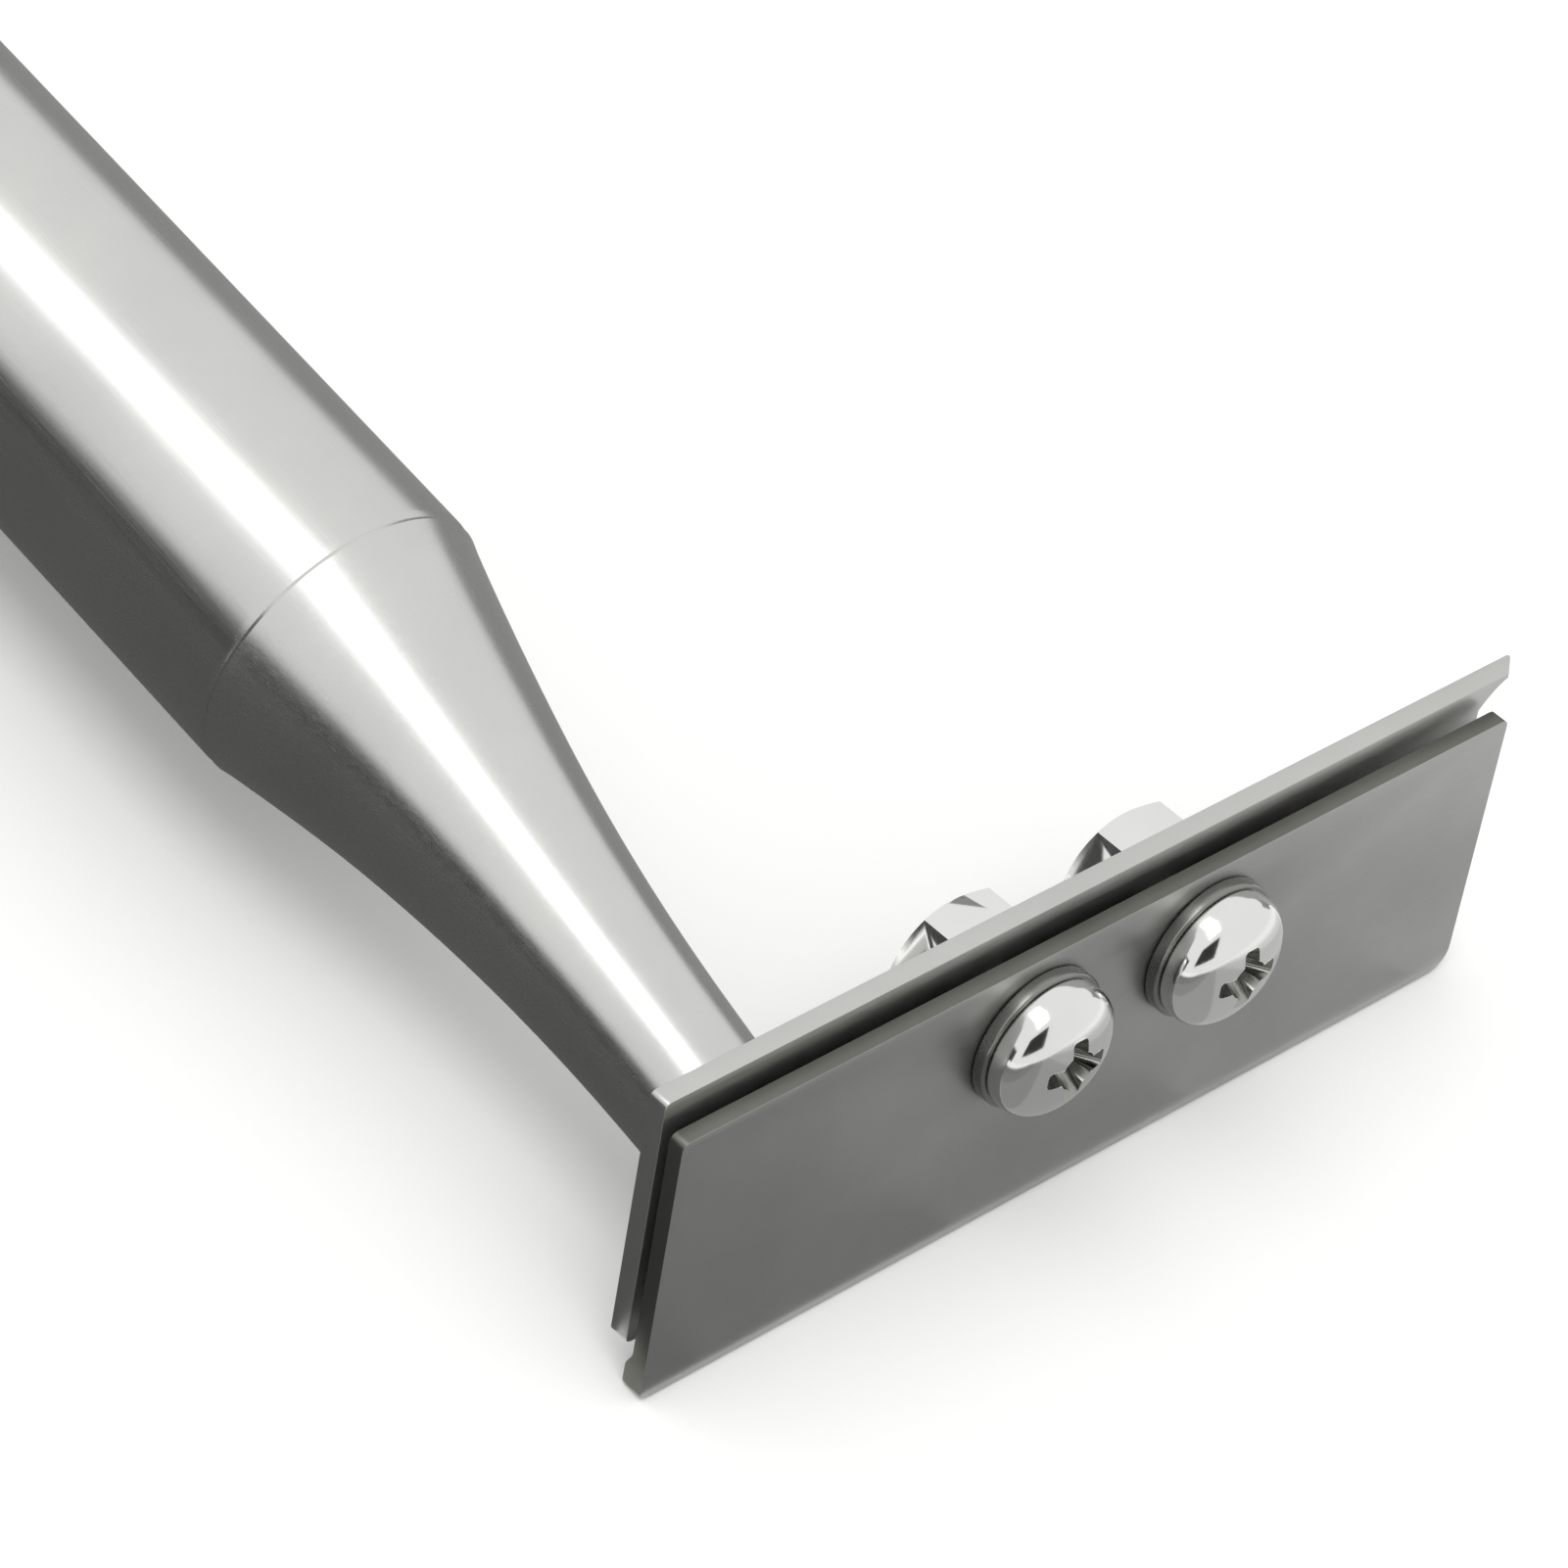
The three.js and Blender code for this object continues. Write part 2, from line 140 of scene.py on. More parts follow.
# Neck, with the shallow ring where it meets the handle
NECK_X = -21.7
NECK_Y = 3.05
NECK_Z = 10.3
NECK_RISE = math.radians(16)
HANDLE_RISE = math.radians(9.1)
NECK_LENGTH = 35.6
NECK_PROFILE = ((4.05, 0), (4.05, 13.5), (5.7, 23.6), (9, 35.6))
NECK_FOOT_TURN = 8
NECK_SHOULDER_TURN = 12
NECK_EMBED = 0.4
NECK_RINGS = 40
SEAM_DEPTH = 0.13
SEAM_HALF_WIDTH = 0.45
SEAM_BEND_DEPTH = 0.0325
SEAM_BEND_WIDTH = 0.225
SEAM_INSIDE_RADIUS = 8.2
SEAM_STEP = 0.02

# Weld
WELD_LEG = 1.1
WELD_COINS = 26
WELD_SPREAD = 0.165
WELD_COIN_SEGMENTS = 16
WELD_COIN_RINGS = 10
WELD_VOXEL = 0.09
WELD_MELT = 0.5
WELD_MELT_ROUNDS = 4

# Handle tube and end cap
TUBE_RADIUS = 9
TUBE_WALL = 1.0
TUBE_LENGTH = 190
CAP_GAP = 0.12
CAP_FLANGE = 2.65
CAP_EDGE_RADIUS = 1.2
CAP_SKIRT = 9

# Smoothness: steps of round pieces, and the angles in degrees up to which faces shade as one
TURN_STEPS = 96
ARC_STEPS = 6
SOFT_STEPS = 3
SHEET_SMOOTH_ANGLE = 35
SCREW_SMOOTH_ANGLE = 32
NUT_SMOOTH_ANGLE = 30
ROUND_SMOOTH_ANGLE = 40
WELD_SMOOTH_ANGLE = 60

# The head's axes in the world, from the clamp's slide and the left screw's place
joints = {joint["name"]: joint for joint in frame["joints"]}
slide_axis = joints["clamp_travel"]["axis"]
head_tilt = math.atan2(slide_axis[2], -slide_axis[1])
head_turn = Matrix.Rotation(-head_tilt, 4, "X")
screw_place = Vector(joints["screw_left_turn"]["pos_m"])
screw_in_head = Vector((SCREW_PLACES["left"], 0, SCREW_HEIGHT)) * MM
HEAD = Matrix.Translation(screw_place - head_turn @ screw_in_head) @ head_turn


# Helpers for modelling by hand
def deselect():
    if bpy.context.mode != "OBJECT":
        bpy.ops.object.mode_set(mode="OBJECT")
    bpy.ops.object.select_all(action="DESELECT")


def only(piece):
    deselect()
    piece.select_set(True)
    bpy.context.view_layer.objects.active = piece


def edit(piece):
    only(piece)
    bpy.ops.object.mode_set(mode="EDIT")
    bpy.ops.mesh.select_mode(type="VERT")


def rest():
    bpy.ops.object.mode_set(mode="OBJECT")


def named(name):
    piece = bpy.context.object
    piece.name = name
    piece.data.name = name
    return piece


def pick(piece, test):
    """Selects the vertices whose place in millimetres passes the test."""
    mesh = bmesh.from_edit_mesh(piece.data)
    for vertex in mesh.verts:
        vertex.select = bool(test(vertex.co / MM))
    mesh.select_flush(True)
    mesh.select_flush(False)
    bmesh.update_edit_mesh(piece.data)


def move(x, y, z):
    bpy.ops.transform.translate(value=(x * MM, y * MM, z * MM))


def close_up():
    """Merges doubled vertices and turns all faces outwards."""
    bpy.ops.mesh.select_all(action="SELECT")
    bpy.ops.mesh.remove_doubles(threshold=MERGE_DISTANCE * MM)
    bpy.ops.mesh.normals_make_consistent(inside=False)


def apply_modifier(piece, kind, **values):
    only(piece)
    modifier = piece.modifiers.new(kind.lower(), kind)
    for key, value in values.items():
        setattr(modifier, key, value)
    bpy.ops.object.modifier_apply(modifier=modifier.name)


def combine(piece, other, operation):
    apply_modifier(piece, "BOOLEAN", object=other, operation=operation, solver="EXACT")
    bpy.data.objects.remove(other)


def soften(piece, width, angle):
    """Rounds every edge that is sharper than the angle."""
    apply_modifier(piece, "BEVEL", width=width * MM, segments=SOFT_STEPS, limit_method="ANGLE",
                   angle_limit=math.radians(angle), use_clamp_overlap=True, harden_normals=False)


def smooth(piece, angle):
    only(piece)
    bpy.ops.object.shade_smooth_by_angle(angle=math.radians(angle))


def place(piece, matrix):
    only(piece)
    piece.matrix_world = matrix @ piece.matrix_world
    bpy.ops.object.transform_apply(location=True, rotation=True, scale=True)


def copy_of(piece, name):
    twin = piece.copy()
    twin.data = piece.data.copy()
    twin.name = name
    twin.data.name = name
    bpy.context.scene.collection.objects.link(twin)
    return twin


def arc(centre, radius, start, end, steps=ARC_STEPS):
    """Points of a rounded edge, with its angles in degrees."""
    points = []
    for step in range(steps + 1):
        angle = math.radians(start + (end - start) * step / steps)
        points.append((centre[0] + radius * math.cos(angle), centre[1] + radius * math.sin(angle)))
    return points


def chain(name, points):
    """A line of edges through points of radius and height along Y."""
    deselect()
    bpy.ops.mesh.primitive_plane_add(size=MM)
    piece = named(name)
    edit(piece)
    bpy.ops.mesh.select_all(action="SELECT")
    bpy.ops.mesh.merge(type="CENTER")
    move(points[0][0], points[0][1], 0)
    for before, after in zip(points, points[1:]):
        step = ((after[0] - before[0]) * MM, (after[1] - before[1]) * MM, 0)
        bpy.ops.mesh.extrude_region_move(TRANSFORM_OT_translate={"value": step})
    rest()
    return piece


def turned(name, points, steps=TURN_STEPS):
    """A round piece turned about Y from a profile of radius and height."""
    piece = chain(name, points)
    edit(piece)
    bpy.ops.mesh.select_all(action="SELECT")
    bpy.ops.mesh.spin(steps=steps, angle=math.tau, center=(0, 0, 0), axis=(0, 1, 0))
    close_up()
    rest()
    return piece


def sheet_outline(name, left, right, low, high, front):
    """A flat rectangle that faces the front, as the start of a plate."""
    deselect()
    bpy.ops.mesh.primitive_plane_add(size=1, rotation=(math.radians(90), 0, 0))
    piece = named(name)
    piece.scale = ((right - left) * MM, (high - low) * MM, 1)
    piece.location = ((left + right) / 2 * MM, front * MM, (low + high) / 2 * MM)
    bpy.ops.object.transform_apply(location=True, rotation=True, scale=True)
    return piece


def thicken(thickness):
    bpy.ops.mesh.select_all(action="SELECT")
    bpy.ops.mesh.extrude_region_move(TRANSFORM_OT_translate={"value": (0, thickness * MM, 0)})


def cut_across(height):
    bpy.ops.mesh.select_all(action="SELECT")
    bpy.ops.mesh.bisect(plane_co=(0, 0, height * MM), plane_no=(0, 0, 1))


def at_screw(x):
    return Matrix.Translation(Vector((x, 0, SCREW_HEIGHT)) * MM)


def drill(piece):
    for side, x in SCREW_PLACES.items():
        bit = turned("bit_" + side, ((0, -DRILL_REACH), (HOLE_RADIUS, -DRILL_REACH),
                                     (HOLE_RADIUS, DRILL_REACH), (0, DRILL_REACH)))
        place(bit, at_screw(x))
        combine(piece, bit, "DIFFERENCE")


def ease(share):
    """A soft start and a soft end between 0 and 1."""
    share = min(max(share, 0), 1)
    return share * share * (3 - 2 * share)


# Clamp plate: a flat sheet whose lower edge is pressed back into a lip
def make_clamp():
    half = CLAMP_LENGTH / 2
    piece = sheet_outline("clamp_sheet", -half, half, 0, CLAMP_HEIGHT, 0)
    edit(piece)
    pick(piece, lambda p: p.x > half - TINY and p.z < TINY)
    bpy.ops.mesh.bevel(offset=CLAMP_TOE_RADIUS * MM, segments=CLAMP_TOE_STEPS, affect="VERTICES")
    pick(piece, lambda p: p.x < TINY - half or (p.x > half - TINY and p.z > CLAMP_HEIGHT - TINY))
    bpy.ops.mesh.bevel(offset=CLAMP_CORNER_RADIUS * MM, segments=PLATE_CORNER_STEPS, affect="VERTICES")
    thicken(CLAMP_THICKNESS)
    rise = (LIP_TOP - LIP_SHOULDER) / LIP_STEPS
    heights = [LIP_SHOULDER + rise * step for step in range(LIP_STEPS + 1)]
    for height in heights:
        cut_across(height)
    for step, height in enumerate(heights):
        pick(piece, lambda p: p.y > TINY and abs(p.z - height) < TINY)
        move(0, LIP_REACH * (1 - ease(step / LIP_STEPS)), 0)
    pick(piece, lambda p: p.y > TINY and p.z < LIP_SHOULDER - TINY)
    move(0, LIP_REACH, 0)
    pick(piece, lambda p: p.y > TINY and p.z < TINY)
    bpy.ops.mesh.bevel(offset=LIP_EDGE_RADIUS * MM, segments=LIP_EDGE_STEPS, affect="EDGES")
    close_up()
    rest()
    drill(piece)
    soften(piece, SHEET_EDGE_ROUND, SHEET_EDGE_ANGLE)
    smooth(piece, SHEET_SMOOTH_ANGLE)
    return piece


# Back plate: a thicker sheet with its upper right corner drawn out into an ear
def make_back():
    piece = sheet_outline("back_sheet", BACK_LEFT, BACK_RIGHT, BACK_FOOT, BACK_TOP, BACK_FRONT)
    edit(piece)
    pick(piece, lambda p: p.x < 0 or p.z < BACK_FOOT + TINY)
    bpy.ops.mesh.bevel(offset=BACK_CORNER_RADIUS * MM, segments=PLATE_CORNER_STEPS, affect="VERTICES")
    ear_root = BACK_TOP - EAR_DROP
    cut_across(ear_root)
    pick(piece, lambda p: p.x > BACK_RIGHT - TINY and p.z > ear_root - TINY)
    reach = EAR_REACH_FRONT / EAR_STEPS
    for step in range(EAR_STEPS):
        bpy.ops.mesh.extrude_region_move(TRANSFORM_OT_translate={"value": (reach * MM, 0, 0)})
    for step in range(1, EAR_STEPS + 1):
        share = step / EAR_STEPS
        hollow = EAR_HOLLOW * math.sin(math.pi * share)
        rise = (EAR_DROP - EAR_TIP_HEIGHT) * share + hollow
        line = BACK_RIGHT + EAR_REACH_FRONT * share
        pick(piece, lambda p: abs(p.x - line) < TINY and p.z < BACK_TOP - TINY)
        move(0, 0, rise)
    thicken(BACK_REAR - BACK_FRONT)
    for step in range(EAR_STEPS, 0, -1):
        share = step / EAR_STEPS
        line = BACK_RIGHT + EAR_REACH_FRONT * share
        pick(piece, lambda p: abs(p.x - line) < TINY and p.y > BACK_REAR - TINY)
        move((EAR_REACH_REAR - EAR_REACH_FRONT) * share, 0, 0)
    pick(piece, lambda p: p.x > BACK_RIGHT + EAR_REACH_REAR - TINY)
    bpy.ops.mesh.bevel(offset=EAR_TIP_ROUND * MM, segments=EAR_TIP_STEPS, affect="EDGES")
    close_up()
    rest()
    drill(piece)
    soften(piece, SHEET_EDGE_ROUND, SHEET_EDGE_ANGLE)
    smooth(piece, SHEET_SMOOTH_ANGLE)
    return piece


# Screw: a turned pan head with a tapered cross recess, and a rolled thread
def make_wing(name, turn):
    """One slot of the cross, narrower at its floor than at its mouth."""
    deselect()
    bpy.ops.mesh.primitive_cube_add(size=1)
    wing = named(name)
    wing.scale = (RECESS_SPAN * MM, RECESS_DEPTH * 2 * MM, RECESS_ARM * MM)
    bpy.ops.object.transform_apply(scale=True)
    edit(wing)
    pick(wing, lambda p: p.y > TINY)
    bpy.ops.transform.resize(value=(RECESS_FLOOR_SPAN_SHARE, 1, RECESS_FLOOR_ARM_SHARE))
    pick(wing, lambda p: p.y < -TINY)
    bpy.ops.transform.resize(value=(2 - RECESS_FLOOR_SPAN_SHARE, 1, 2 - RECESS_FLOOR_ARM_SHARE))
    rest()
    soften(wing, RECESS_CORNER_ROUND, RECESS_CORNER_ANGLE)
    place(wing, Matrix.Translation((0, HEAD_CROWN * MM, 0)) @ Matrix.Rotation(turn, 4, "Y"))
    return wing


def make_thread():
    root = SCREW_RADIUS - THREAD_DEPTH
    flank = (THREAD_PITCH - 2 * THREAD_FLAT) / 2
    start = -WASHER_THICKNESS - THREAD_PITCH
    tooth = ((root, start), (SCREW_RADIUS, start + flank), (SCREW_RADIUS, start + flank + THREAD_FLAT),
             (root, start + 2 * flank + THREAD_FLAT), (root, start + THREAD_PITCH))
    thread = chain("screw_thread", tooth)
    turns = math.ceil((SCREW_TIP - start) / THREAD_PITCH) + 1
    apply_modifier(thread, "SCREW", axis="Y", steps=THREAD_STEPS, render_steps=THREAD_STEPS,
                   iterations=turns, screw_offset=THREAD_PITCH * MM, use_merge_vertices=True,
                   merge_threshold=MERGE_DISTANCE * MM)
    edit(thread)
    for height, upward in ((-WASHER_THICKNESS - THREAD_EMBED, -1), (SCREW_TIP, 1)):
        bpy.ops.mesh.select_all(action="SELECT")
        bpy.ops.mesh.bisect(plane_co=(0, height * MM, 0), plane_no=(0, upward, 0), use_fill=True,
                            clear_outer=True)
    close_up()
    rest()
    chamfer_start = SCREW_TIP - TIP_CHAMFER - TIP_BLANK_RADIUS + SCREW_RADIUS
    tip = turned("tip", ((0, TIP_BLANK_START), (TIP_BLANK_RADIUS, TIP_BLANK_START),
                         (TIP_BLANK_RADIUS, chamfer_start), (SCREW_RADIUS - TIP_CHAMFER, SCREW_TIP),
                         (0, SCREW_TIP)))
    combine(thread, tip, "INTERSECT")
    return thread


def make_screw():
    head_seat = -WASHER_THICKNESS
    dome_height = HEAD_RIM - HEAD_CROWN
    circle = arc((0, 0), 1, -90, 0, DOME_STEPS)
    profile = [(HEAD_RADIUS * x, HEAD_RIM + dome_height * y) for x, y in circle]
    profile += arc((HEAD_RADIUS - HEAD_EDGE_ROUND, head_seat - HEAD_EDGE_ROUND), HEAD_EDGE_ROUND, 0, 90)
    profile += [(0, head_seat)]
    piece = turned("screw_body", profile)
    for name, turn in (("wing_one", 0), ("wing_two", math.radians(90))):
        combine(piece, make_wing(name, turn), "DIFFERENCE")
    core_mouth = HEAD_CROWN - RECESS_OVERCUT
    core_floor = HEAD_CROWN + RECESS_DEPTH
    core = turned("recess_core", ((0, core_mouth), (RECESS_MOUTH_RADIUS, core_mouth),
                                  (RECESS_FLOOR_RADIUS, core_floor), (0, core_floor + RECESS_POINT)),
                  RECESS_STEPS)
    combine(piece, core, "DIFFERENCE")
    soften(piece, SCREW_EDGE_ROUND, SCREW_EDGE_ANGLE)
    thread = make_thread()
    only(thread)
    piece.select_set(True)
    bpy.context.view_layer.objects.active = piece
    bpy.ops.object.join()
    smooth(piece, SCREW_SMOOTH_ANGLE)
    return piece


# Plain washer, stamped, with rounded edges
def make_washer():
    inner = WASHER_BORE_RADIUS + WASHER_ROUND
    outer = WASHER_RADIUS - WASHER_ROUND
    front = -WASHER_THICKNESS + WASHER_ROUND
    rear = -WASHER_ROUND
    profile = arc((inner, front), WASHER_ROUND, 180, 270)
    profile += arc((outer, front), WASHER_ROUND, 270, 360)
    profile += arc((outer, rear), WASHER_ROUND, 0, 90)
    profile += arc((inner, rear), WASHER_ROUND, 90, 180)
    profile += [profile[0]]
    piece = turned("washer_disc", profile)
    smooth(piece, ROUND_SMOOTH_ANGLE)
    return piece


# Nut: a hexagon with both ends turned to a cone, and a countersunk bore
def make_nut():
    height = NUT_TOP - BACK_REAR
    corner = NUT_FLATS / 2 / math.cos(math.pi / NUT_SIDES)
    face = NUT_FLATS / 2 * NUT_FACE_SHARE
    blank = corner + NUT_OVERCUT
    drop = (blank - face) * math.tan(NUT_CHAMFER_ANGLE)
    deselect()
    bpy.ops.mesh.primitive_cylinder_add(vertices=NUT_SIDES, radius=corner * MM, depth=height * MM,
                                        rotation=(math.radians(90), 0, 0))
    piece = named("nut_hex")
    tightened = Matrix.Rotation(-NUT_TURN, 4, "Y")
    place(piece, Matrix.Translation((0, (BACK_REAR + height / 2) * MM, 0)) @ tightened)
    cones = turned("nut_cones", ((0, BACK_REAR), (face, BACK_REAR), (blank, BACK_REAR + drop),
                                 (blank, NUT_TOP - drop), (face, NUT_TOP), (0, NUT_TOP)))
    combine(piece, cones, "INTERSECT")
    bore = SCREW_RADIUS + THREAD_CLEARANCE
    mouth = bore + NUT_COUNTERSINK + NUT_OVERCUT
    tap = turned("nut_tap", ((0, BACK_REAR - NUT_OVERCUT), (mouth, BACK_REAR - NUT_OVERCUT),
                             (bore, BACK_REAR + NUT_COUNTERSINK), (bore, NUT_TOP - NUT_COUNTERSINK),
                             (mouth, NUT_TOP + NUT_OVERCUT), (0, NUT_TOP + NUT_OVERCUT)))
    combine(piece, tap, "DIFFERENCE")
    soften(piece, NUT_EDGE_ROUND, NUT_EDGE_ANGLE)
    smooth(piece, NUT_SMOOTH_ANGLE)
    return piece


# Neck: rings set along a bent axis and bridged, narrow at the plate and wide at the handle
def ring_rise(along):
    foot = ease(along / NECK_FOOT_TURN)
    shoulder = ease((along - NECK_LENGTH + NECK_SHOULDER_TURN) / NECK_SHOULDER_TURN)
    return NECK_RISE * foot + (HANDLE_RISE - NECK_RISE) * shoulder


def axis_point(along):
    return Vector((NECK_X, NECK_Y + along * math.cos(NECK_RISE), NECK_Z + along * math.sin(NECK_RISE)))


def profile_point(share):
    """Radius and place of a ring, on the cubic curve through the neck's profile."""
    left = 1 - share
    weights = (left ** 3, 3 * share * left ** 2, 3 * share ** 2 * left, share ** 3)
    radius = sum(weight * point[0] for weight, point in zip(weights, NECK_PROFILE))
    along = sum(weight * point[1] for weight, point in zip(weights, NECK_PROFILE))
    return radius, along


def make_neck():
    rings = [(NECK_PROFILE[0][0], -NECK_EMBED)]
    rings += [profile_point(step / NECK_RINGS) for step in range(NECK_RINGS)]
    rings += [(TUBE_RADIUS - SEAM_BEND_DEPTH, NECK_LENGTH - SEAM_BEND_WIDTH)]
    rings += [(TUBE_RADIUS - SEAM_DEPTH, NECK_LENGTH)]
    rings += [(SEAM_INSIDE_RADIUS, NECK_LENGTH + SEAM_STEP)]
    deselect()
    piece = None
    for radius, along in rings:
        bpy.ops.mesh.primitive_circle_add(vertices=TURN_STEPS, radius=radius * MM,
                                          location=axis_point(along) * MM,
                                          rotation=(ring_rise(along) - math.radians(90), 0, 0))
        if piece is None:
            piece = named("neck_taper")
            bpy.ops.object.transform_apply(location=True, rotation=True, scale=True)
            edit(piece)
    bpy.ops.mesh.select_all(action="SELECT")
    bpy.ops.mesh.bridge_edge_loops()
    bpy.ops.mesh.select_all(action="DESELECT")
    bpy.ops.mesh.select_non_manifold()
    bpy.ops.mesh.edge_face_add()
    close_up()
    rest()
    smooth(piece, ROUND_SMOOTH_ANGLE)
    return piece


# Weld: a ring of small overlapping beads, melted together
def make_weld():
    ring = NECK_PROFILE[0][0] + WELD_SPREAD
    deselect()
    piece = None
    for coin in range(WELD_COINS):
        angle = math.tau * coin / WELD_COINS
        spot = Vector((NECK_X + ring * math.cos(angle), BACK_REAR, NECK_Z + ring * math.sin(angle)))
        bpy.ops.mesh.primitive_uv_sphere_add(segments=WELD_COIN_SEGMENTS, ring_count=WELD_COIN_RINGS,
                                             radius=WELD_LEG * MM, location=spot * MM)
        if piece is None:
            piece = named("weld_bead")
            bpy.ops.object.transform_apply(location=True, rotation=True, scale=True)
            edit(piece)
    rest()
    apply_modifier(piece, "REMESH", mode="VOXEL", voxel_size=WELD_VOXEL * MM)
    apply_modifier(piece, "SMOOTH", factor=WELD_MELT, iterations=WELD_MELT_ROUNDS)
    smooth(piece, WELD_SMOOTH_ANGLE)
    return piece


# Handle tube with a softened edge at each end
def make_tube():
    inner = TUBE_RADIUS - TUBE_WALL
    seam = TUBE_RADIUS - SEAM_DEPTH
    profile = [(inner, 0), (seam, 0)]
    profile += [(TUBE_RADIUS - SEAM_BEND_DEPTH, SEAM_BEND_WIDTH), (TUBE_RADIUS, SEAM_HALF_WIDTH)]
    profile += [(TUBE_RADIUS, TUBE_LENGTH - SEAM_HALF_WIDTH)]
    profile += [(seam, TUBE_LENGTH), (inner, TUBE_LENGTH), (inner, 0)]
    piece = turned("handle_sleeve", profile)
    smooth(piece, ROUND_SMOOTH_ANGLE)
    return piece


# End cap: a plug with a rounded flange that closes the tube
def make_cap():
    inner = TUBE_RADIUS - TUBE_WALL
    flange = TUBE_LENGTH + CAP_GAP
    top = TUBE_LENGTH + CAP_FLANGE
    profile = [(0, TUBE_LENGTH - CAP_SKIRT), (inner, TUBE_LENGTH - CAP_SKIRT), (inner, flange)]
    profile += arc((TUBE_RADIUS - SEAM_DEPTH, flange + SEAM_DEPTH), SEAM_DEPTH, -90, 0)
    profile += arc((TUBE_RADIUS - CAP_EDGE_RADIUS, top - CAP_EDGE_RADIUS), CAP_EDGE_RADIUS, 0, 90)
    profile += [(0, top)]
    piece = turned("end_plug", profile)
    smooth(piece, ROUND_SMOOTH_ANGLE)
    return piece


# Making each piece, placing it and letting it ride on its body
GRIP = HEAD @ Matrix.Translation(axis_point(NECK_LENGTH) * MM) @ Matrix.Rotation(HANDLE_RISE, 4, "X")
pieces = {}


def seat(piece, matrix, node, body, slot):
    place(piece, matrix)
    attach(piece, body)
    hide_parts(node)
    pieces.setdefault(slot, []).append(piece)


seat(make_clamp(), HEAD, "clamp_plate", "clamp", "sheet_steel")
seat(make_back(), HEAD, "back_plate", "handle", "sheet_steel")
seat(make_neck(), HEAD, "neck", "handle", "tube_steel")
seat(make_weld(), HEAD, "neck_weld", "handle", "weld_steel")
seat(make_tube(), GRIP, "handle_tube", "handle", "tube_steel")
seat(make_cap(), GRIP, "handle_end_cap", "handle", "tube_steel")
patterns = {"screw": make_screw(), "washer": make_washer(), "nut": make_nut()}
riders = {"screw": "screw_{}", "washer": "clamp", "nut": "handle"}
for kind, pattern in patterns.items():
    for side, x in SCREW_PLACES.items():
        copy = copy_of(pattern, pattern.name + "_" + side)
        seat(copy, HEAD @ at_screw(x), kind + "_" + side, riders[kind].format(side), "plated_steel")
    bpy.data.objects.remove(pattern)

# Grain of the metals: noise detail, the part of the noise that is used, and cloud size in millimetres
GRAIN_DETAIL = 4.0
GRAIN_ROUGHNESS = 0.55
NOISE_RANGE = {"From_Min": 0.3, "From_Max": 0.7}
CLOUD_SIZE = 9
EVEN = (1, 1, 1)
ALONG_SHEET = (14, 1, 1)
ALONG_TUBE = (1, 40, 1)

# Sockets of a colour mix, by their place
MIX_FACTOR = 0
MIX_DARK = 6
MIX_LIGHT = 7
MIX_COLOUR = 2


# Materials
def linear(hex_colour):
    """An sRGB hex value as linear red, green, blue and alpha."""
    channels = [int(hex_colour[i:i + 2], 16) / 255 for i in (1, 3, 5)]
    return tuple(c / 12.92 if c <= 0.04045 else ((c + 0.055) / 1.055) ** 2.4 for c in channels) + (1,)


def node(tree, kind, **values):
    """Adds a node, sets its properties, and sets or links its inputs."""
    made = tree.nodes.new("ShaderNode" + kind)
    for key, value in values.items():
        if key in made.inputs or key.replace("_", " ") in made.inputs:
            socket = made.inputs[key] if key in made.inputs else made.inputs[key.replace("_", " ")]
            if isinstance(value, bpy.types.NodeSocket):
                tree.links.new(value, socket)
            else:
                socket.default_value = value
        else:
            setattr(made, key, value)
    return made


def grain(tree, size, stretch):
    """Noise with the given grain in millimetres, drawn out along X, Y and Z."""
    coordinates = node(tree, "TexCoord")
    scale = tuple(1 / (size * MM * factor) for factor in stretch)
    mapped = node(tree, "Mapping", Vector=coordinates.outputs["Object"], Scale=scale)
    noise = node(tree, "TexNoise", Vector=mapped.outputs["Vector"], Scale=1.0, Detail=GRAIN_DETAIL,
                 Roughness=GRAIN_ROUGHNESS)
    return noise.outputs[0]


def steel(name, dark, light, rough, rough_spread, grain_size, stretch, bump, bump_depth):
    """A metal whose gloss and fine relief follow its grain, and whose tone follows soft clouds."""
    material = bpy.data.materials.new(name)
    material.use_nodes = True
    tree = material.node_tree
    shader = tree.nodes["Principled BSDF"]
    shader.inputs["Metallic"].default_value = 1
    fine = grain(tree, grain_size, stretch)
    cloud = grain(tree, CLOUD_SIZE, EVEN)
    clouded = node(tree, "MapRange", Value=cloud, To_Min=0.0, To_Max=1.0, **NOISE_RANGE)
    tone = node(tree, "Mix", data_type="RGBA")
    tree.links.new(clouded.outputs["Result"], tone.inputs[MIX_FACTOR])
    tone.inputs[MIX_DARK].default_value = linear(dark)
    tone.inputs[MIX_LIGHT].default_value = linear(light)
    tree.links.new(tone.outputs[MIX_COLOUR], shader.inputs["Base Color"])
    gloss = node(tree, "MapRange", Value=fine, To_Min=rough - rough_spread, To_Max=rough + rough_spread,
                 **NOISE_RANGE)
    tree.links.new(gloss.outputs["Result"], shader.inputs["Roughness"])
    relief = node(tree, "Bump", Strength=bump, Distance=bump_depth * MM, Height=fine)
    tree.links.new(relief.outputs["Normal"], shader.inputs["Normal"])
    return material


